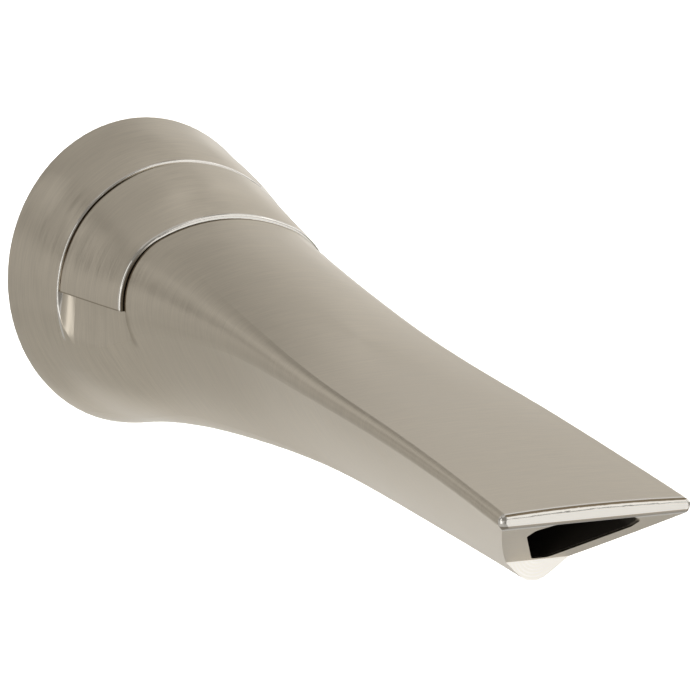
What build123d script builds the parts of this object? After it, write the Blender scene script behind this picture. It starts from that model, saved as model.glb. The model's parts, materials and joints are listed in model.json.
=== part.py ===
from build123d import *
import os
from math import cos, radians, sin, tan

# Wall mounted tub spout with a pull-up diverter collar. Millimetres, +Z up.
# The wall is the plane y = 0 and the spout reaches out along -Y. "out" is the distance from the wall.
# The origin is on the axis of the supply tube, at the wall plane.

# ---- outer form of the casting -------------------------------------------------------------------
FLANGE_R = 40.0
SPOUT_REACH = 207.2
# out, top, half width, keel, crown half angle, shoulder radius, keel radius, turn of the flank
BODY_STATIONS = (
    (0.0, FLANGE_R, FLANGE_R, -FLANGE_R, 45.0, FLANGE_R, FLANGE_R, 30.0),
    (10.0, 35.5, 38.8, -38.7, 40.0, 35.0, 36.0, 30.0),
    (20.0, 30.3, 37.0, -37.6, 35.0, 31.0, 32.0, 30.0),
    (31.0, 23.6, 34.0, -37.0, 29.0, 25.2, 25.0, 27.0),
    (42.0, 17.4, 30.7, -36.9, 23.0, 18.0, 18.5, 24.0),
    (60.0, 9.9, 27.8, -37.5, 20.5, 12.0, 14.0, 22.0),
    (80.0, 1.9, 25.9, -38.9, 16.5, 7.2, 11.0, 20.0),
    (100.0, -5.7, 25.3, -41.3, 11.5, 4.6, 9.0, 19.0),
    (125.0, -13.6, 25.6, -46.0, 7.0, 3.0, 7.5, 18.0),
    (150.0, -20.1, 25.9, -51.3, 4.8, 2.4, 6.5, 18.0),
    (165.0, -24.1, 26.1, -54.5, 4.0, 2.2, 6.2, 18.0),
    (180.0, -28.3, 26.5, -57.8, 3.4, 2.0, 6.0, 18.0),
    (195.0, -32.6, 27.1, -61.3, 3.0, 1.9, 6.0, 18.0),
    (211.0, -37.4, 27.9, -65.0, 2.7, 1.8, 6.0, 18.0),
)
# the nose: a short upright front, the slanted outlet face and a small facet under it
FRONT_LOW_Z = -39.6
CREASE_OUT, CREASE_Z = 182.1, -52.4
FACET_OUT, FACET_Z = 179.6, -60.0
NOSE_EDGE_R = 1.4

# ---- hollow of the casting -----------------------------------------------------------------------
GASKET_POCKET_R, GASKET_T = 37.0, 2.0
REAR_CAVITY = (
    (1.5, 33.3, 33.3, -33.3, 45.0, 33.3, 33.3, 30.0),
    (12.0, 28.4, 31.6, -33.2, 40.0, 30.0, 30.0, 30.0),
    (21.0, 23.2, 28.6, -33.0, 35.0, 25.0, 25.0, 28.0),
)
FRONT_CAVITY = (
    (25.0, 20.6, 28.0, -33.6, 33.0, 22.0, 22.0, 27.0),
    (42.0, 12.4, 26.6, -33.6, 23.0, 15.0, 15.5, 24.0),
    (60.0, 6.4, 24.2, -33.9, 20.5, 9.5, 11.0, 22.0),
    (80.0, -1.5, 22.4, -35.2, 16.5, 5.5, 8.5, 20.0),
    (100.0, -9.0, 21.8, -37.4, 11.5, 3.4, 7.0, 19.0),
    (125.0, -17.0, 21.4, -42.0, 7.0, 2.4, 6.0, 18.0),
    (150.0, -23.6, 20.6, -46.6, 5.0, 2.0, 5.0, 18.0),
)
BULKHEAD_HOLE_R = 16.5
# outlet hole on the slanted face: x and distance down the slant, with the radius of each corner pair
OUTLET_HALF = ((11.5, 1.0), (15.2, 4.4), (15.2, 8.6), (2.4, 27.2))
OUTLET_CORNER_R = 2.2
PASSAGE_SLOPE = 0.25
PASSAGE_LENGTH = 66.0

# ---- groove for the collar -----------------------------------------------------------------------
GROOVE_BACK, GROOVE_FRONT = 20.0, 42.4
# of the groove's floor: top, half width, crown half angle, shoulder radius, outward flare of its sides,
# and the height and turn of the arc that brings each side out to the skin
FLOOR_BACK = (26.2, 33.9, 35.0, 27.0, 8.5, -10.4, 20.0)
FLOOR_FRONT = (15.3, 29.4, 23.0, 16.6, -11.0, -13.4, 8.0)
FLOOR_END_SAG = 2.2
FLOOR_END_R = 6.0
FLOOR_LOW_Z = -52.0
COVE_R = 3.0
COVE_ANGLES = (0.0, 12.0, 28.0, 45.0, 62.0, 78.0)
COVE_RUN_OUT = (3.4, -0.2)
RIM_R = 0.4

# ---- collar ---------------------------------------------------------------------------------------
COLLAR_BACK, COLLAR_FRONT = 20.6, 42.0
COLLAR_STATIONS = (
    (20.6, 30.0, 36.8, -37.6, 35.0, 31.0, 32.0, 30.0),
    (31.0, 24.3, 34.5, -38.0, 30.0, 25.4, 25.5, 27.0),
    (42.0, 18.1, 31.8, -38.4, 24.5, 18.4, 19.5, 24.0),
)
COLLAR_GAP = 0.35
COLLAR_RELIEF = 2.5
LEG_END_BACK_Z, LEG_END_FRONT_Z = -1.3, -4.6
COLLAR_EDGE_R, COLLAR_BACK_EDGE_R = 0.6, 0.3
GLIDE_R, GLIDE_OUT, GLIDE_Z = 3.0, 26.5, 5.0

# ---- lift mechanism ---------------------------------------------------------------------------------
LIFT = 8.0
STEM_OUT = 36.5
STEM_R = 2.0
STEM_LOW_R, STEM_TOP_R = 1.5, 1.6
BUSH_R, BUSH_FLANGE_R = 4.6, 5.3
BUSH_LOW_Z, BUSH_SHELF_Z, BUSH_TOP_Z = 10.8, 14.0, 15.2
RUNNING_GAP = 0.08
SPRING_R, SPRING_WIRE_R, SPRING_TURNS = 4.1, 0.3, 5.0
WASHER_T = 0.8
CLIP_T = 0.6

# ---- water way ----------------------------------------------------------------------------------------
TUBE_BORE_R = 8.05
HUB_BACK, HUB_STOP, HUB_NOSE = 0.0, 25.0, 29.5
BULKHEAD_BACK, BULKHEAD_FRONT = 21.0, 25.0
HUB_R, HUB_FLANGE_R, HUB_NOSE_R = 11.5, 22.2, 14.5
HUB_SCREW_R, HUB_SCREW_CIRCLE = 1.5, 20.0
TUBE_ORINGS = (15.0, 19.5)
SET_SCREW_OUT, SET_SCREW_R = 9.0, 2.5
PORT_HALF_W, PORT_LOW_Z, PORT_TOP_Z = 5.0, 0.0, 5.4
PLATE_HALF_W, PLATE_LOW_Z, PLATE_TOP_Z = 12.5, -12.8, 9.5
GATE_HALF_W, GATE_LOW_Z, GATE_TOP_Z = 8.15, -11.2, -1.2
SEAT_SCREW_X, SEAT_SCREW_Z, SEAT_SCREW_R = 11.4, 4.0, 0.9


# ---- helpers ------------------------------------------------------------------------------------------
def point(x, out, z):
    return Vector(x, -out, z)


def slab(x0, x1, out0, out1, z0, z1):
    return Solid.make_box(x1 - x0, out1 - out0, z1 - z0, Plane(origin=(x0, -out1, z0)))


def along_tube(radius, out0, out1, x=0.0, z=0.0):
    plane = Plane(origin=(x, -out0, z), z_dir=(0, -1, 0))
    return Solid.make_cylinder(radius, out1 - out0, plane)


def upright(radius, z0, z1, out=STEM_OUT, x=0.0):
    plane = Plane(origin=(x, -out, z0), z_dir=(0, 0, 1))
    return Solid.make_cylinder(radius, z1 - z0, plane)


def arc_edge(centre, radius, start, end, out):
    """Arc about (x, z) centre; angles in radians from straight up, turning towards +x."""
    def on(angle):
        return point(centre[0] + radius * sin(angle), out, centre[1] + radius * cos(angle))
    return Edge.make_three_point_arc(on(start), on((start + end) / 2), on(end))


def mirrored(arc):
    (cx, cz), radius, start, end = arc
    return ((-cx, cz), radius, -end, -start)


def oval_arcs(top, half_width, keel, crown, shoulder_r, keel_r, flank_turn):
    """Right half of a closed smooth outline: crown, shoulder, flank and keel arcs."""
    a = radians(crown)
    turn = radians(flank_turn)
    crown_r = (half_width - shoulder_r * (1 - sin(a))) / sin(a)

    def flank(start):
        end = start + turn
        width = keel_r * sin(end) - crown_r * sin(a) - shoulder_r * (sin(start) - sin(a))
        radius = width / (sin(end) - sin(start))
        height = (crown_r * (1 - cos(a)) + shoulder_r * (cos(a) - cos(start))
                  + radius * (cos(start) - cos(end)) + keel_r * (1 + cos(end)))
        return radius, height

    # on a circle every start gives the same height; elsewhere the right start is found by halving
    low, high = radians(100.0), radians(150.0)
    rising = flank(high)[1] > flank(low)[1]
    while abs(flank(high)[1] - flank(low)[1]) > 1e-9:
        middle = (low + high) / 2
        if (flank(middle)[1] < top - keel) == rising:
            low = middle
        else:
            high = middle
    start = (low + high) / 2
    end = start + turn
    flank_r = flank(start)[0]
    crown_c = (0.0, top - crown_r)
    shoulder_c = (crown_c[0] + (crown_r - shoulder_r) * sin(a), crown_c[1] + (crown_r - shoulder_r) * cos(a))
    flank_c = (shoulder_c[0] + (shoulder_r - flank_r) * sin(start),
               shoulder_c[1] + (shoulder_r - flank_r) * cos(start))
    return crown_c, crown_r, a, shoulder_c, start, flank_c, flank_r, end


def oval(out, top, half_width, keel, crown, shoulder_r, keel_r, flank_turn):
    crown_c, crown_r, a, shoulder_c, start, flank_c, flank_r, end = oval_arcs(
        top, half_width, keel, crown, shoulder_r, keel_r, flank_turn)
    shoulder = (shoulder_c, shoulder_r, a, start)
    flank = (flank_c, flank_r, start, end)
    arcs = [
        (crown_c, crown_r, -a, a),
        shoulder,
        flank,
        ((0.0, keel + keel_r), keel_r, end, radians(360) - end),
        mirrored(flank),
        mirrored(shoulder),
    ]
    return Wire([arc_edge(c, r, a0, a1, out) for c, r, a0, a1 in arcs])


def lofted(stations):
    return Solid.make_loft([oval(*station) for station in stations])


def on_arc(centre, radius, angle):
    return centre[0] + radius * sin(angle), centre[1] + radius * cos(angle)


def floor_outline(out, extra=0.0):
    """Outline of the groove's floor: an arch with sides that end in an arc; extra moves it outwards."""
    share = (out - GROOVE_BACK) / (GROOVE_FRONT - GROOVE_BACK)
    top, half_width, crown, shoulder_r, flare, end_z, end_turn = (
        back + (front - back) * share for back, front in zip(FLOOR_BACK, FLOOR_FRONT))
    end_z -= FLOOR_END_SAG * 4 * share * (1 - share)
    a = radians(crown)
    side = radians(90 - flare)
    turned = radians(90 - flare + end_turn)
    crown_r = (half_width - shoulder_r * (1 - sin(a))) / sin(a)
    crown_c = (0.0, top - crown_r)
    shoulder_c = on_arc(crown_c, crown_r - shoulder_r, a)
    side_x, side_z = on_arc(shoulder_c, shoulder_r, side)
    end_c = on_arc((side_x + (side_z - end_z) * tan(radians(flare)), end_z), -FLOOR_END_R, side)
    shoulder = (shoulder_c, shoulder_r + extra, a, side)
    side_end = (end_c, FLOOR_END_R + extra, side, turned)
    shoulder_end = on_arc(*shoulder[:2], side)
    arc_start = on_arc(*side_end[:2], side)
    arc_end = on_arc(*side_end[:2], turned)
    low = (arc_end[0] + (arc_end[1] - FLOOR_LOW_Z) / tan(turned), FLOOR_LOW_Z)

    def line(first, last, flip):
        return Edge.make_line(point(flip * first[0], out, first[1]), point(flip * last[0], out, last[1]))
    return Wire([
        arc_edge(crown_c, crown_r + extra, -a, a, out),
        arc_edge(*shoulder, out),
        line(shoulder_end, arc_start, 1),
        arc_edge(*side_end, out),
        line(arc_end, low, 1),
        Edge.make_line(point(low[0], out, low[1]), point(-low[0], out, low[1])),
        line(low, arc_end, -1),
        arc_edge(*mirrored(side_end), out),
        line(arc_start, shoulder_end, -1),
        arc_edge(*mirrored(shoulder), out),
    ])


def floor_core(extra=0.0):
    outs = (GROOVE_BACK - 1.0, (GROOVE_BACK + GROOVE_FRONT) / 2, GROOVE_FRONT + 1.0)
    return Solid.make_loft([floor_outline(out, extra) for out in outs])


def ring(outer_r, inner_r, out0, out1):
    return along_tube(outer_r, out0, out1) - along_tube(inner_r, out0 - 1, out1 + 1)


# ---- the casting --------------------------------------------------------------------------------------
def nose_waste():
    """Everything in front of the upright front, the slanted outlet face and the lower facet."""
    far = SPOUT_REACH + 40
    corners = [(SPOUT_REACH, 10), (SPOUT_REACH, FRONT_LOW_Z), (CREASE_OUT, CREASE_Z), (FACET_OUT, FACET_Z),
               (FACET_OUT, -90), (far, -90), (far, 10)]
    wire = Wire.make_polygon([point(-60, out, z) for out, z in corners])
    return extrude(Face(wire), amount=120, dir=(1, 0, 0))


def outlet_plane():
    down = Vector(0, SPOUT_REACH - CREASE_OUT, CREASE_Z - FRONT_LOW_Z).normalized()
    normal = Vector(0, down.Z, -down.Y)
    return Plane(origin=point(0, SPOUT_REACH, FRONT_LOW_Z), x_dir=(1, 0, 0), z_dir=normal)


def passage():
    """The water way behind the outlet hole, running up the spout from the slanted face."""
    right = [(x, -s) for x, s in OUTLET_HALF]
    left = [(-x, y) for x, y in reversed(right)]
    sketch = outlet_plane() * fillet(Polygon(*right, *left, align=None).vertices(), OUTLET_CORNER_R)
    inwards = Vector(0, 1, PASSAGE_SLOPE).normalized()
    inner = extrude(sketch, amount=PASSAGE_LENGTH, dir=inwards)
    outer = extrude(sketch, amount=12, dir=-inwards)
    return inner + outer


def groove():
    back = slab(-60, 60, GROOVE_BACK, GROOVE_FRONT, -50, 60)
    profile = [(COVE_R * (1 - cos(radians(a))), COVE_R * (1 - sin(radians(a)))) for a in COVE_ANGLES]
    profile.append(COVE_RUN_OUT)
    cove = Solid.make_loft([floor_outline(GROOVE_BACK + out, extra) for out, extra in profile])
    return back - floor_core() - cove


def edges_at(shape, out):
    """The curved edges in one plane across the spout."""
    edges = shape.edges().filter_by_position(Axis.Y, -out - 0.01, -out + 0.01)
    return edges.filter_by(GeomType.LINE, reverse=True)


def groove_rim(body, skin):
    """Edges where the back of the groove meets the skin."""
    def on_skin(edge):
        return all(min(face.distance_to(edge @ t) for face in skin.faces()) < 0.002 for t in (0.2, 0.5))

    def at_back(edge):
        return all(GROOVE_BACK - 0.01 < -(edge @ t).Y < GROOVE_BACK + 2 for t in (0, 0.5, 1))
    return [edge for edge in body.edges() if at_back(edge) and on_skin(edge)]


def spout_body():
    skin = lofted(BODY_STATIONS)
    body = Part() + skin
    body -= nose_waste()
    body = fillet(edges_at(body, SPOUT_REACH), NOSE_EDGE_R)
    body -= groove()
    body = fillet(groove_rim(body, skin), RIM_R)
    body -= along_tube(GASKET_POCKET_R, -1, GASKET_T)
    body -= lofted(REAR_CAVITY)
    body -= lofted(FRONT_CAVITY)
    body += upright(BUSH_R + 1.7, BUSH_LOW_Z, 24) & floor_core()
    body -= passage()
    body -= along_tube(BULKHEAD_HOLE_R, BULKHEAD_BACK - 1, BULKHEAD_FRONT + 1)
    for x, z in hub_screw_places():
        body -= along_tube(HUB_SCREW_R, BULKHEAD_BACK - 1, BULKHEAD_FRONT - 0.3, x, z)
    body -= upright(BUSH_R, BUSH_LOW_Z - 4, 30)
    body -= upright(BUSH_FLANGE_R, BUSH_SHELF_Z, 30)
    body -= upright(SET_SCREW_R + 1.0, -45, -25, SET_SCREW_OUT)
    return body


# ---- the collar ---------------------------------------------------------------------------------------
def collar_envelope():
    """Outer skin of the collar between its two faces, cut off under its legs."""
    skin = lofted(COLLAR_STATIONS)
    drop = (LEG_END_FRONT_Z - LEG_END_BACK_Z) / (COLLAR_FRONT - COLLAR_BACK)
    ends = [(out, LEG_END_BACK_Z + drop * (out - COLLAR_BACK)) for out in (10, 50)]
    side = Wire.make_polygon([point(-60, out, z) for out, z in (*ends, (50, 60), (10, 60))])
    return extrude(Face(side), amount=120, dir=(1, 0, 0)) & skin


def diverter_collar():
    collar = Part() + collar_envelope()
    collar = fillet(edges_at(collar, COLLAR_FRONT), COLLAR_EDGE_R)
    collar = fillet(edges_at(collar, COLLAR_BACK), COLLAR_BACK_EDGE_R)
    collar -= floor_core(COLLAR_GAP)
    collar -= Solid.make_loft([
        floor_outline(COLLAR_BACK - 0.5, COLLAR_GAP + COLLAR_RELIEF),
        floor_outline(COLLAR_BACK + 2.3, COLLAR_GAP - 0.2)])
    boss = upright(3.6, BUSH_TOP_Z + 0.4, 40) & lofted(COLLAR_STATIONS)
    collar += boss
    collar -= upright(STEM_TOP_R, 0, BUSH_TOP_Z + 4.4)
    for side in (-1, 1):
        collar -= glide_blank(side)
    return collar


def glide_blank(side):
    plane = Plane(origin=(side * 24.0, -GLIDE_OUT, GLIDE_Z), z_dir=(side, 0, 0))
    return Solid.make_cylinder(GLIDE_R, 8.2, plane)


def collar_glide(side):
    return glide_blank(side) - floor_core(0.15)


# ---- the inlet cartridge --------------------------------------------------------------------------------
def hub_screw_places():
    return [(HUB_SCREW_CIRCLE * cos(radians(a)), HUB_SCREW_CIRCLE * sin(radians(a))) for a in (30, 150, 270)]


def inlet_hub():
    hub = Part() + along_tube(HUB_R, HUB_BACK, 17.0)
    hub += along_tube(HUB_R + 2.0, HUB_BACK, SET_SCREW_OUT + 3.5)
    hub += along_tube(HUB_FLANGE_R, 17.0, BULKHEAD_BACK)
    hub += along_tube(BULKHEAD_HOLE_R - 0.3, BULKHEAD_BACK, BULKHEAD_FRONT)
    hub += along_tube(HUB_NOSE_R, BULKHEAD_FRONT, HUB_NOSE)
    hub -= along_tube(TUBE_BORE_R, HUB_BACK - 1, HUB_STOP)
    hub -= along_tube(7.2, HUB_STOP - 1, HUB_NOSE + 1)
    for out in TUBE_ORINGS:
        hub -= along_tube(9.95, out - 1.05, out + 1.05)
    hub -= ring(17.95, 16.45, BULKHEAD_BACK - 1.32, BULKHEAD_BACK)
    hub -= upright(SET_SCREW_R, -20, -6, SET_SCREW_OUT)
    for x, z in hub_screw_places():
        hub -= along_tube(HUB_SCREW_R, 10, BULKHEAD_FRONT, x, z)
    for side in (-1, 1):
        hub -= along_tube(SEAT_SCREW_R, 26.0, HUB_NOSE + 1, side * SEAT_SCREW_X, SEAT_SCREW_Z)
    return hub


def tube_oring(out):
    return Solid.make_torus(8.95, 0.96, Plane(origin=(0, -out, 0), z_dir=(0, -1, 0)))


def hub_face_oring():
    return Solid.make_torus(17.2, 0.65, Plane(origin=(0, -BULKHEAD_BACK + 0.67, 0), z_dir=(0, -1, 0)))


def pan_screw(head_r, head_t, shank_r, length, head_out, x, z, towards):
    """Cross-slotted screw; towards is 1 when its shank points away from the wall, else -1."""
    head_plane = Plane(origin=(x, -head_out, z), z_dir=(0, towards, 0))
    shank_plane = Plane(origin=(x, -head_out, z), z_dir=(0, -towards, 0))
    screw = Part() + Solid.make_cylinder(head_r, head_t, head_plane)
    rim = screw.edges().filter_by(GeomType.CIRCLE).sort_by_distance(head_plane.origin)[-1]
    screw = fillet(rim, head_t * 0.4)
    screw += Solid.make_cylinder(shank_r, length, shank_plane)
    for width, height in ((0.35, 1.3), (1.3, 0.35)):
        screw -= head_plane * Pos(0, 0, head_t) * Box(head_r * width, head_r * height, head_t)
    return screw


def hub_screws():
    return [pan_screw(2.1, 1.7, HUB_SCREW_R, 7.4, 17.0, x, z, 1) for x, z in hub_screw_places()]


def set_screw():
    screw = Part() + upright(SET_SCREW_R, -13.3, -8.4, SET_SCREW_OUT)
    socket = extrude(RegularPolygon(1.25, 6, major_radius=False), 2.4)
    return screw - Plane(origin=(0, -SET_SCREW_OUT, -13.3)) * socket


def wall_gasket():
    return ring(GASKET_POCKET_R, 33.4, 0, GASKET_T)


def port_cut():
    return slab(-PORT_HALF_W, PORT_HALF_W, HUB_NOSE - 1, HUB_NOSE + 4, PORT_LOW_Z, PORT_TOP_Z)


def plate_layer(out0, out1):
    layer = Part() + slab(-PLATE_HALF_W, PLATE_HALF_W, out0, out1, PLATE_LOW_Z, PLATE_TOP_Z)
    layer = fillet(layer.edges().filter_by(Axis.Y), 2.5)
    layer -= port_cut()
    for side in (-1, 1):
        layer -= along_tube(SEAT_SCREW_R, out0 - 1, out1 + 1, side * SEAT_SCREW_X, SEAT_SCREW_Z)
    return layer


def gate_track():
    track = Part()
    for side in (-1, 1):
        a, b = sorted((side * 8.35, side * PLATE_HALF_W))
        track += slab(a, b, 31.5, 33.0, 1.0, 7.4)
        a, b = sorted((side * 8.35, side * 9.6))
        track += slab(a, b, 31.5, 36.5, -12.6, 8.4)
        a, b = sorted((side * 6.6, side * 8.35))
        track += slab(a, b, 35.3, 36.5, -12.6, 8.4)
        track -= along_tube(SEAT_SCREW_R, 30, 35, side * SEAT_SCREW_X, SEAT_SCREW_Z)
    track += slab(-9.6, 9.6, 31.5, 36.5, -12.6, -11.4)
    return track


def seat_screws():
    return [pan_screw(1.5, 1.2, SEAT_SCREW_R, 7.0, 33.0, side * SEAT_SCREW_X, SEAT_SCREW_Z, -1)
            for side in (-1, 1)]


# ---- gate and lift rod ------------------------------------------------------------------------------------
def gate():
    plate = Part() + slab(-GATE_HALF_W, GATE_HALF_W, 32.6, 35.1, GATE_LOW_Z, GATE_TOP_Z)
    plate += slab(-3.3, 3.3, 35.1, 39.6, GATE_LOW_Z + 1.2, GATE_TOP_Z)
    plate -= slab(-6.6, 6.6, 32.6, 33.0, GATE_LOW_Z + 0.6, GATE_TOP_Z - 0.6)
    return plate - upright(STEM_LOW_R, -8.0, 0)


def gate_seal():
    seal = Part() + slab(-6.6, 6.6, 31.8, 33.0, GATE_LOW_Z + 0.6, GATE_TOP_Z - 0.6)
    return fillet(seal.edges().filter_by_position(Axis.Y, -31.81, -31.79), 0.35)


def stem():
    rod = upright(STEM_LOW_R, -8.0, GATE_TOP_Z + WASHER_T)
    rod = Part() + rod + upright(STEM_R, GATE_TOP_Z + WASHER_T, BUSH_TOP_Z + 0.4)
    rod += upright(STEM_TOP_R, BUSH_TOP_Z + 0.4, BUSH_TOP_Z + 4.4)
    return rod - (upright(STEM_R + 1, clip_top() - CLIP_T, clip_top()) - upright(1.6, 0, 10))


def clip_top():
    """The clip meets the bushing when the collar is fully up."""
    return BUSH_LOW_Z - LIFT - 0.05


def stem_clip():
    clip = upright(3.1, clip_top() - CLIP_T, clip_top()) - upright(1.6, 0, 10)
    return clip - slab(-1.3, 1.3, STEM_OUT, STEM_OUT + 5, 0, 10)


def spring_washer():
    return upright(4.3, GATE_TOP_Z, GATE_TOP_Z + WASHER_T) - upright(STEM_LOW_R, -3, 3)


def return_spring():
    low = GATE_TOP_Z + WASHER_T + SPRING_WIRE_R + 0.02
    high = BUSH_LOW_Z - SPRING_WIRE_R - 0.02
    helix = Edge.make_helix((high - low) / SPRING_TURNS, high - low, SPRING_R)
    start = Plane(origin=helix @ 0, z_dir=helix % 0)
    coil = sweep(start * Circle(SPRING_WIRE_R), path=helix)
    return Pos(0, -STEM_OUT, low) * coil


def roof_bushing():
    bush = Part() + upright(BUSH_R, BUSH_LOW_Z, BUSH_SHELF_Z)
    bush += upright(BUSH_FLANGE_R, BUSH_SHELF_Z, BUSH_TOP_Z)
    bush -= upright(STEM_R + RUNNING_GAP, 5, 20)
    return bush - upright(3.5, 12.0, 13.5)


def roof_oring():
    return Solid.make_torus(2.79, 0.7, Plane(origin=(0, -STEM_OUT, 12.75)))


# ---- every piece, by its node name ----------------------------------------------------------------------
PIECES = {
    "spout_body": spout_body,
    "diverter_collar": diverter_collar,
    "collar_glide_left": lambda: collar_glide(-1),
    "collar_glide_right": lambda: collar_glide(1),
    "wall_gasket": wall_gasket,
    "inlet_hub": inlet_hub,
    "tube_oring_rear": lambda: tube_oring(TUBE_ORINGS[0]),
    "tube_oring_front": lambda: tube_oring(TUBE_ORINGS[1]),
    "hub_face_oring": hub_face_oring,
    "hub_screws": hub_screws,
    "set_screw": set_screw,
    "seat_gasket": lambda: plate_layer(HUB_NOSE, HUB_NOSE + 0.5),
    "seat_plate": lambda: plate_layer(HUB_NOSE + 0.5, 31.5),
    "seat_screws": seat_screws,
    "gate_track": gate_track,
    "gate": gate,
    "gate_seal": gate_seal,
    "stem": stem,
    "stem_clip": stem_clip,
    "spring_washer": spring_washer,
    "return_spring": return_spring,
    "roof_bushing": roof_bushing,
    "roof_oring": roof_oring,
}

os.makedirs("parts", exist_ok=True)
for name, make in PIECES.items():
    shape = make()
    solids = shape if isinstance(shape, list) else [shape]
    solids = [solid for item in solids for solid in item.solids()]
    export_step(solids[0] if len(solids) == 1 else Compound(children=solids), "parts/%s.step" % name)
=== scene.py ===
import json
from math import cos, pi, radians, sin

import bpy
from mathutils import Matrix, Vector


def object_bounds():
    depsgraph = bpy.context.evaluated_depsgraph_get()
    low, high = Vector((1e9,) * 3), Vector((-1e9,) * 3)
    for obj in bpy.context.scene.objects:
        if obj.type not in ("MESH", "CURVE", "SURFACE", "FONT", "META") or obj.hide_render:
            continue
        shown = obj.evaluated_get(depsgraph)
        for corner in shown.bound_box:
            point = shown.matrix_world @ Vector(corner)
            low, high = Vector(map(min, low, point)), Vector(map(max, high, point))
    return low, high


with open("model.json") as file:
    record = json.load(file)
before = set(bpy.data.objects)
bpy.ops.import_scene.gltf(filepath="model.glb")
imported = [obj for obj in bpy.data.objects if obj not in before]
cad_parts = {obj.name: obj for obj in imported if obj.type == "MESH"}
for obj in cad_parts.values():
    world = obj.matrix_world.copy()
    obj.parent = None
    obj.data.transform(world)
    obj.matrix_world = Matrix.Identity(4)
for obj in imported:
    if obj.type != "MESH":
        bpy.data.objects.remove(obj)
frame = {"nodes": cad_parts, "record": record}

# The casting reaches out along -Y from the wall, +Z is up and x = 0 is its middle.
CAD_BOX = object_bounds()
MM = 0.001

# ---- camera -----------------------------------------------------------------
CAMERA_AZIMUTH = radians(-33.155)
CAMERA_ELEVATION = radians(7.147)
CAMERA_DISTANCE = 1.75
CAMERA_LENS = 360.0
CAMERA_SENSOR = 36.0
CAMERA_CLIP = 60.0
AIM_OFFSET = Vector((0.0047, 0.0109, -0.0026))

# ---- studio -----------------------------------------------------------------
FLOOR_Z = -0.6
FLOOR_HALF = 14.0
FLOOR_COLOUR = (0.84, 0.84, 0.83)
FLOOR_ROUGH = 0.9
WORLD_COLOUR = (0.80, 0.77, 0.72)
WORLD_STRENGTH = 0.30
# Softboxes stand round the object: degrees round from +X, degrees up, width and height in metres, radiance.
FAR = 1.8
FAR_SOFTBOXES = (
    ("right", 0, 27, 1.1, 1.1, 0.85),
    ("upper right", 0, 58, 1.1, 1.1, 0.60),
    ("right back high", 36, 32, 1.1, 1.1, 0.45),
    ("right back low", 54, 0, 1.1, 1.1, 0.80),
    ("back", 90, 0, 1.1, 1.1, 0.45),
    ("back high", 108, 32, 1.2, 1.2, 0.45),
    ("top", 90, 80, 1.5, 1.5, 0.25),
    ("upper right front", -47, 38, 1.2, 1.2, 0.75),
    ("left back", 144, 0, 2.0, 1.1, 0.25),
    ("left high", 180, 32, 1.1, 1.1, 0.80),
    ("left front", 198, 0, 1.1, 1.1, 1.15),
    ("front left", 236, 5, 1.1, 1.1, 0.30),
    ("front right", -55, -2, 1.0, 1.0, 0.70),
)
NEAR = 0.5
NEAR_SOFTBOXES = (
    ("front right low", -46, -33, 0.34, 0.34, 0.55),
    ("right under", -36, -58, 0.31, 0.31, 0.25),
    ("back under", 72, -32, 0.31, 0.31, 0.25),
)
# the gridded light that turns the floor behind the object white
BACKDROP_CENTRE = (4.4, 6.73)
BACKDROP_SIZE = (2.4, 11.4)
BACKDROP_RADIANCE = 2.0
BACKDROP_HEIGHT = 1.9
BACKDROP_SPREAD = radians(16)

# ---- nickel -----------------------------------------------------------------
NICKEL = (0.662, 0.600, 0.500)
POLISHED_NICKEL = (0.84, 0.81, 0.755)
# SHADED_NICKEL is painted shade: it darkens gaps, the legs' faces and ends, and the nose's edges where
# shadow and dark reflections fall.
SHADED_NICKEL = (0.20, 0.155, 0.10)
# the unplated casting's colour, painted near black for the shade deep in the outlet
CAST_INSIDE_IN_SHADE = (0.050, 0.043, 0.034)
# factors on the plate's colour: in the brushing's dark and pale lines, and in the clouds
DARK_LINE, PALE_LINE, CLOUD = 0.93, 1.06, 0.96
NICKEL_ROUGH = 0.34
NICKEL_ROUGH_DROP, NICKEL_ROUGH_RISE = 0.05, 0.06
POLISHED_ROUGH_FACTOR = 0.42
INSIDE_ROUGH_RISE = 0.4
INSIDE_METALLIC_DROP = 0.6
NICKEL_ANISOTROPY = 0.35
# noise cells per metre: along and across the brushing, and in the soft clouds under it
GRAIN_ALONG, GRAIN_ACROSS = 120.0, 2900.0
STROKE_ALONG, STROKE_ACROSS = 55.0, 900.0
GRAIN_SHARE = 0.72
CLOUD_SCALE = 38.0
CLOUD_SHARE = 0.35
BRUSHING_DEPTH, BRUSHING_STRENGTH = 0.012 * MM, 0.6
RING_DEPTH, RING_STRENGTH = 0.01 * MM, 0.5
# levels of each noise between which its effect grows
LINE_TONE = (0.28, 0.72)
LINE_ROUGH = (0.25, 0.75)
CLOUD_TONE = (0.3, 0.7)

# Where the casting is polished. Of two places, the first is where a finish starts and the second where
# it is full. Of three, a band lies between the first two and the third is how soft its ends are.
# Each facing is a direction, and how squarely a surface must look along it.
NOSE_Y = (-205.4 * MM, -205.9 * MM)
FACET_Y = (-170.0 * MM, -175.0 * MM)
FACET_FACING = ((0.0, -0.9499, -0.3125), 0.97, 0.99)
RIM_Y = (-20.36 * MM, -19.62 * MM, 0.05 * MM)
RIM_Z = (-14.5 * MM, -12.5 * MM)
# The unplated water way, painted near black for the shade deep inside: behind the slanted outlet face, under
# its roof and over its V-shaped floor.
SLANT_POINT = (0.0, -207.2 * MM, -39.5 * MM)
SLANT_NORMAL = (0.0, -0.4571, -0.8894)
SLANT_DEPTH = (-0.4 * MM, -0.8 * MM)
WATER_WAY_Y = (-201.5 * MM, -125.0 * MM, 0.5 * MM)
WATER_WAY_HALF = 17.0 * MM
WATER_WAY_OUT = 150.0 * MM
ROOF_SLOPE, ROOF_Z = 0.259, -22.7 * MM
KEEL_SLOPE, KEEL_Z, KEEL_FLARE = 0.213, -47.7 * MM, 0.75
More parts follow.
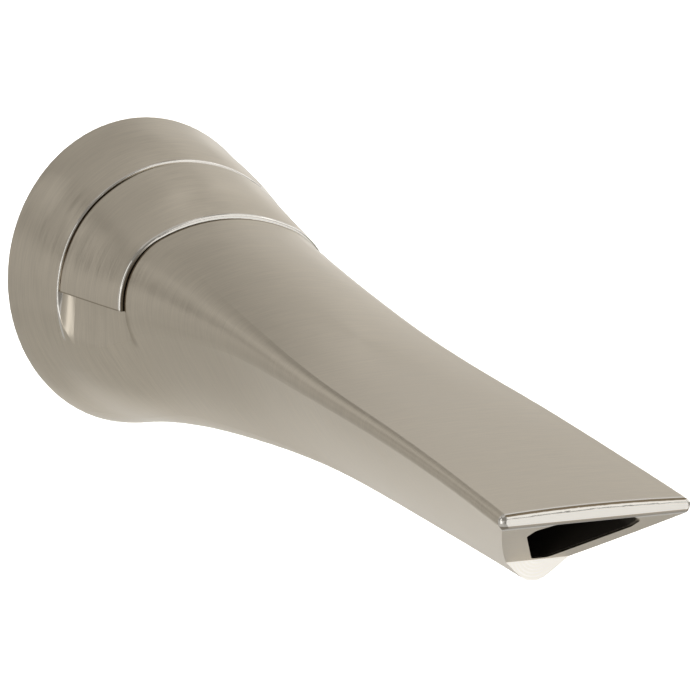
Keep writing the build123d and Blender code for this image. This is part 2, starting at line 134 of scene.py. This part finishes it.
# the cutter's rings round the outlet
RINGS_Z = -49.5 * MM
RINGS_Y = (-176.0 * MM, -180.0 * MM)
RINGS_FACING = ((0.0, -0.7, -0.7), 0.8, 0.85)
RING_RADIANS_PER_METRE = 7400.0
# darker lines of painted shade: painted shadow at the groove's front seam and in the notch under each leg,
# and painted dark reflections on both edges of the nose
SEAM_SHADOW_Y = (-42.8 * MM, -42.0 * MM, 0.12 * MM)
SEAM_SHADOW_Z = (-5.2 * MM, -4.4 * MM)
NOTCH_Y = (-43.4 * MM, -42.0 * MM, 0.6 * MM)
NOTCH_Z = (-13.5 * MM, -4.8 * MM, 1.2 * MM)
NOTCH_SHADE = 0.30
NOSE_TOP_FACING = ((0.0, -0.58, 0.81), 0.94, 0.98)
NOSE_LOW_Z = (-40.0 * MM, -39.2 * MM, 0.1 * MM)
NOSE_LOW_SHADE = 0.75

# The collar's polished front edge, and the shade on its leg faces, under its legs and at its back.
COLLAR_FRONT_Y = (-41.2 * MM, -41.6 * MM)
LEG_FACE_Y = (-41.9 * MM, -41.98 * MM)
LEG_FACE_Z = (14.0 * MM, 4.0 * MM)
LEG_FACE_SHADE = 0.75
LEG_END_SLOPE, LEG_END_OUT, LEG_END_Z = 0.154, 20.6 * MM, -1.3 * MM
LEG_END_HEIGHT = (0.4 * MM, 0.2 * MM)
LEG_END_SHADE = 0.6
COLLAR_BACK_Y = (-21.3 * MM, -20.8 * MM)
UPPER_LEFT_X = (-12.0 * MM, -20.0 * MM)
UPPER_LEFT_Z = (2.0 * MM, 10.0 * MM)

scene = bpy.context.scene
scene.view_settings.view_transform = "Standard"


def box_centre(box):
    return (Vector(box[0]) + Vector(box[1])) / 2


# ---- shader helpers ---------------------------------------------------------
def new_material(name):
    material = bpy.data.materials.new(name)
    material.use_nodes = True
    return material, material.node_tree


def add_node(tree, kind, **values):
    node = tree.nodes.new(kind)
    for key, value in values.items():
        setattr(node, key, value)
    return node


def put(tree, socket, value):
    """Joins a socket to another one, or sets a plain value on it."""
    if isinstance(value, bpy.types.NodeSocket):
        tree.links.new(value, socket)
    else:
        socket.default_value = value


def maths(tree, operation, first, second=0.0, clamp=False):
    node = add_node(tree, "ShaderNodeMath", operation=operation, use_clamp=clamp)
    put(tree, node.inputs[0], first)
    put(tree, node.inputs[1], second)
    return node.outputs[0]


def product(tree, first, *others):
    for other in others:
        first = maths(tree, "MULTIPLY", first, other)
    return first


def largest(tree, first, *others):
    for other in others:
        first = maths(tree, "MAXIMUM", first, other)
    return first


def slope(tree, value, steepness, offset, height):
    """Height of a straight slope that passes through height where value is -offset."""
    return maths(tree, "ADD", product(tree, maths(tree, "ADD", value, offset), steepness), height)


def ramp(tree, value, low, high, out_low=0.0, out_high=1.0):
    """Smooth step from out_low at low to out_high at high."""
    node = add_node(tree, "ShaderNodeMapRange", interpolation_type="SMOOTHSTEP")
    for socket, number in zip(node.inputs, (value, low, high, out_low, out_high)):
        put(tree, socket, number)
    return node.outputs[0]


def band(tree, value, low, high, soft):
    """1 between low and high, with soft ends."""
    rise = ramp(tree, value, low - soft, low + soft)
    fall = ramp(tree, value, high - soft, high + soft, 1.0, 0.0)
    return product(tree, rise, fall)


def blend(tree, factor, first, second):
    """Colour that goes from first at factor 0 to second at factor 1."""
    node = add_node(tree, "ShaderNodeMix", data_type="RGBA")
    colour_sockets = [socket for socket in node.inputs if socket.type == "RGBA"]
    put(tree, node.inputs["Factor"], factor)
    put(tree, colour_sockets[0], first)
    put(tree, colour_sockets[1], second)
    return next(socket for socket in node.outputs if socket.type == "RGBA")


def coordinates(tree):
    """Position on the object, in metres, whole and as x, y and z."""
    place = add_node(tree, "ShaderNodeTexCoord").outputs["Object"]
    parts = add_node(tree, "ShaderNodeSeparateXYZ")
    tree.links.new(place, parts.inputs[0])
    return place, parts.outputs[0], parts.outputs[1], parts.outputs[2]


def along_normal(tree, vector, normal):
    dot = add_node(tree, "ShaderNodeVectorMath", operation="DOT_PRODUCT")
    tree.links.new(vector, dot.inputs[0])
    dot.inputs[1].default_value = normal
    return dot.outputs["Value"]


def plane_distance(tree, place, point, normal):
    """Signed distance of each point in front of a plane."""
    shifted = add_node(tree, "ShaderNodeVectorMath", operation="SUBTRACT")
    tree.links.new(place, shifted.inputs[0])
    shifted.inputs[1].default_value = point
    return along_normal(tree, shifted.outputs[0], normal)


def facing(tree, normal, low, high):
    """1 where the surface looks along normal."""
    surface_normal = add_node(tree, "ShaderNodeTexCoord").outputs["Normal"]
    return ramp(tree, along_normal(tree, surface_normal, normal), low, high)


def stretched_noise(tree, place, scale, detail=3.0, roughness=0.55):
    """Noise with its own scale along each axis, in cells per metre."""
    mapping = add_node(tree, "ShaderNodeMapping")
    put(tree, mapping.inputs["Vector"], place)
    mapping.inputs["Scale"].default_value = scale
    noise = add_node(tree, "ShaderNodeTexNoise")
    tree.links.new(mapping.outputs[0], noise.inputs["Vector"])
    noise.inputs["Scale"].default_value = 1.0
    noise.inputs["Detail"].default_value = detail
    noise.inputs["Roughness"].default_value = roughness
    return noise.outputs["Fac"]


def bumped(tree, height, distance, strength=1.0, under=None):
    node = add_node(tree, "ShaderNodeBump")
    node.inputs["Strength"].default_value = strength
    node.inputs["Distance"].default_value = distance
    tree.links.new(height, node.inputs["Height"])
    if under is not None:
        tree.links.new(under, node.inputs["Normal"])
    return node.outputs["Normal"]


def rgba(colour, factor=1.0):
    return (*(channel * factor for channel in colour), 1.0)


# ---- nickel -----------------------------------------------------------------
def brushing(tree, place):
    """Fine grain and longer strokes, both drawn out round the spout."""
    grain = stretched_noise(tree, place, (GRAIN_ALONG, GRAIN_ACROSS, GRAIN_ALONG), detail=2.5, roughness=0.6)
    strokes = stretched_noise(
        tree, place, (STROKE_ALONG, STROKE_ACROSS, STROKE_ALONG), detail=2.0, roughness=0.5)
    return maths(tree, "ADD", product(tree, grain, GRAIN_SHARE), product(tree, strokes, 1 - GRAIN_SHARE))


def nickel(name, masks):
    """Brushed nickel plate; masks gives where it is polished, unplated and painted near black for the shade
    inside, turned in rings, and painted with shade and dark reflections.
    """
    material, tree = new_material(name)
    shader = tree.nodes["Principled BSDF"]
    place, x, y, z = coordinates(tree)
    polished, inside, rings, shaded = masks(tree, place, x, y, z)
    lines = brushing(tree, place)
    clouds = stretched_noise(tree, place, (CLOUD_SCALE, CLOUD_SCALE, CLOUD_SCALE), detail=2.0, roughness=0.5)
    tone = blend(tree, ramp(tree, lines, *LINE_TONE), rgba(NICKEL, DARK_LINE), rgba(NICKEL, PALE_LINE))
    tone = blend(tree, ramp(tree, clouds, *CLOUD_TONE, 0.0, CLOUD_SHARE), tone, rgba(NICKEL, CLOUD))
    tone = blend(tree, polished, tone, rgba(POLISHED_NICKEL))
    tone = blend(tree, shaded, tone, rgba(SHADED_NICKEL))
    put(tree, shader.inputs["Base Color"], blend(tree, inside, tone, rgba(CAST_INSIDE_IN_SHADE)))
    rough = ramp(
        tree, lines, *LINE_ROUGH, NICKEL_ROUGH - NICKEL_ROUGH_DROP, NICKEL_ROUGH + NICKEL_ROUGH_RISE)
    rough = product(tree, rough, ramp(tree, polished, 0.0, 1.0, 1.0, POLISHED_ROUGH_FACTOR))
    rough = maths(tree, "ADD", rough, product(tree, inside, INSIDE_ROUGH_RISE), clamp=True)
    put(tree, shader.inputs["Roughness"], rough)
    metallic = maths(tree, "SUBTRACT", 1.0, product(tree, inside, INSIDE_METALLIC_DROP))
    put(tree, shader.inputs["Metallic"], metallic)
    shader.inputs["Anisotropic"].default_value = NICKEL_ANISOTROPY
    relief = bumped(tree, lines, BRUSHING_DEPTH, BRUSHING_STRENGTH)
    put(tree, shader.inputs["Normal"], bumped(tree, rings, RING_DEPTH, RING_STRENGTH, relief))
    return material


def body_polish(tree, y, z):
    """The nose, the facet under the outlet and the rim of the collar's groove."""
    facet = product(tree, facing(tree, *FACET_FACING), ramp(tree, y, *FACET_Y))
    rim = product(tree, band(tree, y, *RIM_Y), ramp(tree, z, *RIM_Z))
    return largest(tree, ramp(tree, y, *NOSE_Y), facet, rim)


def water_way(tree, place, x, y, z):
    """The bare casting inside the outlet, its colour painted near black for the shade in there."""
    behind = ramp(tree, plane_distance(tree, place, SLANT_POINT, SLANT_NORMAL), *SLANT_DEPTH)
    aside = maths(tree, "ABSOLUTE", x)
    roof = slope(tree, y, ROOF_SLOPE, WATER_WAY_OUT, ROOF_Z)
    keel = slope(tree, y, KEEL_SLOPE, WATER_WAY_OUT, KEEL_Z)
    floor = maths(tree, "ADD", keel, product(tree, aside, KEEL_FLARE))
    under_roof = maths(tree, "LESS_THAN", z, roof)
    over_floor = maths(tree, "GREATER_THAN", z, floor)
    narrow = maths(tree, "LESS_THAN", aside, WATER_WAY_HALF)
    return product(tree, behind, narrow, under_roof, over_floor, band(tree, y, *WATER_WAY_Y))


def outlet_rings(tree, x, y, z):
    """The cutter's rings, as a wave that runs out from the middle of the outlet."""
    centred = add_node(tree, "ShaderNodeCombineXYZ")
    put(tree, centred.inputs[0], x)
    put(tree, centred.inputs[1], maths(tree, "SUBTRACT", z, RINGS_Z))
    radius = add_node(tree, "ShaderNodeVectorMath", operation="LENGTH")
    tree.links.new(centred.outputs[0], radius.inputs[0])
    wave = maths(tree, "SINE", product(tree, radius.outputs["Value"], RING_RADIANS_PER_METRE))
    return product(tree, wave, ramp(tree, y, *RINGS_Y), facing(tree, *RINGS_FACING))


def body_shade(tree, y, z):
    """Painted shadow in the seam in front of the collar and in the notch under its legs, and painted dark
    reflections on the lines above and below the nose.
    """
    seam_shadow = product(tree, band(tree, y, *SEAM_SHADOW_Y), ramp(tree, z, *SEAM_SHADOW_Z))
    notch = product(tree, band(tree, z, *NOTCH_Z), band(tree, y, *NOTCH_Y), NOTCH_SHADE)
    nose = ramp(tree, y, *NOSE_Y)
    nose_top = product(tree, facing(tree, *NOSE_TOP_FACING), nose)
    nose_low = product(tree, band(tree, z, *NOSE_LOW_Z), nose, NOSE_LOW_SHADE)
    return largest(tree, seam_shadow, notch, nose_top, nose_low)


def body_masks(tree, place, x, y, z):
    return (body_polish(tree, y, z), water_way(tree, place, x, y, z),
            outlet_rings(tree, x, y, z), body_shade(tree, y, z))


def collar_shade(tree, x, y, z):
    """Painted shade on the front faces and the ends of the legs, and painted shadow at the back edge at the
    upper left.
    """
    leg_face = product(tree, ramp(tree, y, *LEG_FACE_Y), ramp(tree, z, *LEG_FACE_Z, 0.0, LEG_FACE_SHADE))
    above_end = maths(tree, "SUBTRACT", z, slope(tree, y, LEG_END_SLOPE, LEG_END_OUT, LEG_END_Z))
    leg_end = ramp(tree, above_end, *LEG_END_HEIGHT, 0.0, LEG_END_SHADE)
    upper_left = product(tree, ramp(tree, x, *UPPER_LEFT_X), ramp(tree, z, *UPPER_LEFT_Z))
    back = product(tree, ramp(tree, y, *COLLAR_BACK_Y), upper_left)
    return largest(tree, leg_face, leg_end, back)


def collar_masks(tree, place, x, y, z):
    """The collar has no unplated place and no rings, so those two are 0 all over."""
    nowhere = product(tree, z, 0.0)
    return ramp(tree, y, *COLLAR_FRONT_Y), nowhere, nowhere, collar_shade(tree, x, y, z)


# ---- other finishes ---------------------------------------------------------
MARK_LEVELS = (0.3, 0.7)
MARK_SHARE = 0.6
MARK_STRENGTH = 0.7
PATCH_SCALE = 150.0
PATCH_LEVELS = (0.35, 0.7)
PATCH_SHARE = 0.5
FINE = 0.01 * MM
MOULD_SCALE = 2600.0
MOULD_SPREAD = 0.06
RUBBER_SHEEN = 0.15
PORE_SCALE = 1900.0
PORE_DEPTH, PORE_STRENGTH = 0.1 * MM, 0.8
PORE_TONE = (0.1, 0.6)
PORE_ROUGH = (0.0, 0.6, 0.95, 0.78)
FOAM_DARK, FOAM_PALE = (0.035, 0.035, 0.034), (0.11, 0.11, 0.105)


def worked(name, colour, rough, metallic, scale, relief, spread=0.12, rough_spread=0.08, detail=3.0):
    """A finish whose tool or mould marks are noise drawn out along the way it was made."""
    material, tree = new_material(name)
    shader = tree.nodes["Principled BSDF"]
    place = coordinates(tree)[0]
    marks = stretched_noise(tree, place, scale, detail)
    patches = stretched_noise(tree, place, (PATCH_SCALE, PATCH_SCALE, PATCH_SCALE), detail=2.0)
    dark, pale = rgba(colour, 1 - spread), rgba(colour, 1 + spread)
    tone = blend(tree, ramp(tree, marks, *MARK_LEVELS), dark, pale)
    tone = blend(tree, ramp(tree, patches, *PATCH_LEVELS, 0.0, PATCH_SHARE), tone, dark)
    put(tree, shader.inputs["Base Color"], tone)
    wear = maths(tree, "ADD", product(tree, marks, MARK_SHARE), product(tree, patches, 1 - MARK_SHARE))
    put(tree, shader.inputs["Roughness"],
        ramp(tree, wear, *MARK_LEVELS, rough - rough_spread, rough + rough_spread))
    shader.inputs["Metallic"].default_value = metallic
    put(tree, shader.inputs["Normal"], bumped(tree, marks, relief, MARK_STRENGTH))
    return material


def foam():
    """Closed-cell foam, dark and dull in the middle of each pore and paler between the pores."""
    material, tree = new_material("foam")
    shader = tree.nodes["Principled BSDF"]
    pores = add_node(tree, "ShaderNodeTexVoronoi")
    put(tree, pores.inputs["Vector"], coordinates(tree)[0])
    pores.inputs["Scale"].default_value = PORE_SCALE
    depth = pores.outputs["Distance"]
    put(tree, shader.inputs["Base Color"],
        blend(tree, ramp(tree, depth, *PORE_TONE), rgba(FOAM_DARK), rgba(FOAM_PALE)))
    put(tree, shader.inputs["Roughness"], ramp(tree, depth, *PORE_ROUGH))
    put(tree, shader.inputs["Normal"], bumped(tree, depth, PORE_DEPTH, PORE_STRENGTH))
    return material


def moulded(name, colour, rough, sheen=0.0):
    grain = (MOULD_SCALE, MOULD_SCALE, MOULD_SCALE)
    material = worked(name, colour, rough, 0.0, grain, FINE, MOULD_SPREAD, MOULD_SPREAD)
    material.node_tree.nodes["Principled BSDF"].inputs["Sheen Weight"].default_value = sheen
    return material


def make_materials():
    turned_y = (60.0, 4200.0, 60.0)
    turned_z = (60.0, 60.0, 4200.0)
    milled_x = (90.0, 2200.0, 2200.0)
    forged = (900.0, 900.0, 900.0)
    drawn = (300.0, 300.0, 2400.0)
    return {
        "brushed_nickel": nickel("brushed nickel", body_masks),
        "collar_nickel": nickel("collar nickel", collar_masks),
        "white_nylon": moulded("nylon", (0.80, 0.79, 0.75), 0.45),
        "foam_gasket": foam(),
        "brass_hub": worked("turned brass", (0.78, 0.60, 0.29), 0.30, 1.0, turned_y, FINE),
        "brass_plate": worked("milled brass", (0.76, 0.59, 0.30), 0.33, 1.0, milled_x, FINE),
        "black_rubber": moulded("black rubber", (0.028, 0.028, 0.029), 0.62, RUBBER_SHEEN),
        "red_rubber": moulded("red rubber", (0.32, 0.05, 0.03), 0.58, RUBBER_SHEEN),
        "steel_screws": worked("screw steel", (0.56, 0.56, 0.57), 0.34, 1.0, forged, FINE, 0.10),
        "steel_rod": worked("ground steel", (0.63, 0.63, 0.64), 0.24, 1.0, turned_z, 0.006 * MM, 0.06),
        "steel_spring": worked("spring steel", (0.52, 0.52, 0.54), 0.30, 1.0, drawn, 0.008 * MM, 0.08),
        "acetal": moulded("acetal", (0.055, 0.055, 0.06), 0.40),
    }


def dress(nodes, record):
    """Gives every node the material of its slot."""
    materials = make_materials()
    for piece in record["subparts"]:
        for slot in nodes[piece["node"]].material_slots:
            slot.material = materials[piece["material_slot"]]


# ---- studio -----------------------------------------------------------------
def direction(azimuth, elevation):
    """Unit vector from degrees round from +X and degrees up."""
    turn, rise = radians(azimuth), radians(elevation)
    return Vector((cos(turn) * cos(rise), sin(turn) * cos(rise), sin(rise)))


def add_camera():
    data = bpy.data.cameras.new("camera")
    data.lens = CAMERA_LENS
    data.sensor_width = CAMERA_SENSOR
    data.clip_end = CAMERA_CLIP
    camera = bpy.data.objects.new("camera", data)
    away = Vector((
        sin(CAMERA_AZIMUTH) * cos(CAMERA_ELEVATION),
        -cos(CAMERA_AZIMUTH) * cos(CAMERA_ELEVATION),
        sin(CAMERA_ELEVATION)))
    camera.location = box_centre(CAD_BOX) + AIM_OFFSET + away * CAMERA_DISTANCE
    camera.rotation_euler = (radians(90) - CAMERA_ELEVATION, 0, CAMERA_AZIMUTH)
    scene.collection.objects.link(camera)
    scene.camera = camera


def area_light(name, width, height, radiance):
    data = bpy.data.lights.new(name, "AREA")
    data.shape = "RECTANGLE"
    data.size = width
    data.size_y = height
    data.energy = radiance * width * height * pi
    light = bpy.data.objects.new(name, data)
    light.visible_camera = False
    scene.collection.objects.link(light)
    return light


def add_softbox(distance, name, azimuth, elevation, width, height, radiance):
    """A soft light whose face looks at the object with the given radiance."""
    light = area_light(name, width, height, radiance)
    towards = direction(azimuth, elevation)
    light.location = box_centre(CAD_BOX) + towards * distance
    light.rotation_euler = (-towards).to_track_quat("-Z", "Y").to_euler()


def add_backdrop():
    light = area_light("backdrop", *BACKDROP_SIZE, BACKDROP_RADIANCE)
    light.data.spread = BACKDROP_SPREAD
    light.location = (*BACKDROP_CENTRE, FLOOR_Z + BACKDROP_HEIGHT)
    light.rotation_euler = (0, 0, CAMERA_AZIMUTH)


def add_world():
    world = bpy.data.worlds.new("studio")
    world.use_nodes = True
    background = world.node_tree.nodes["Background"]
    background.inputs["Color"].default_value = rgba(WORLD_COLOUR)
    background.inputs["Strength"].default_value = WORLD_STRENGTH
    scene.world = world


def add_floor():
    mesh = bpy.data.meshes.new("floor")
    h = FLOOR_HALF
    corners = [(-h, -h, FLOOR_Z), (h, -h, FLOOR_Z), (h, h, FLOOR_Z), (-h, h, FLOOR_Z)]
    mesh.from_pydata(corners, [], [(0, 1, 2, 3)])
    material, tree = new_material("floor")
    shader = tree.nodes["Principled BSDF"]
    shader.inputs["Base Color"].default_value = rgba(FLOOR_COLOUR)
    shader.inputs["Roughness"].default_value = FLOOR_ROUGH
    mesh.materials.append(material)
    floor = bpy.data.objects.new("floor", mesh)
    scene.collection.objects.link(floor)


dress(frame["nodes"], frame["record"])
add_camera()
add_world()
add_floor()
for softbox in FAR_SOFTBOXES:
    add_softbox(FAR, *softbox)
for softbox in NEAR_SOFTBOXES:
    add_softbox(NEAR, *softbox)
add_backdrop()
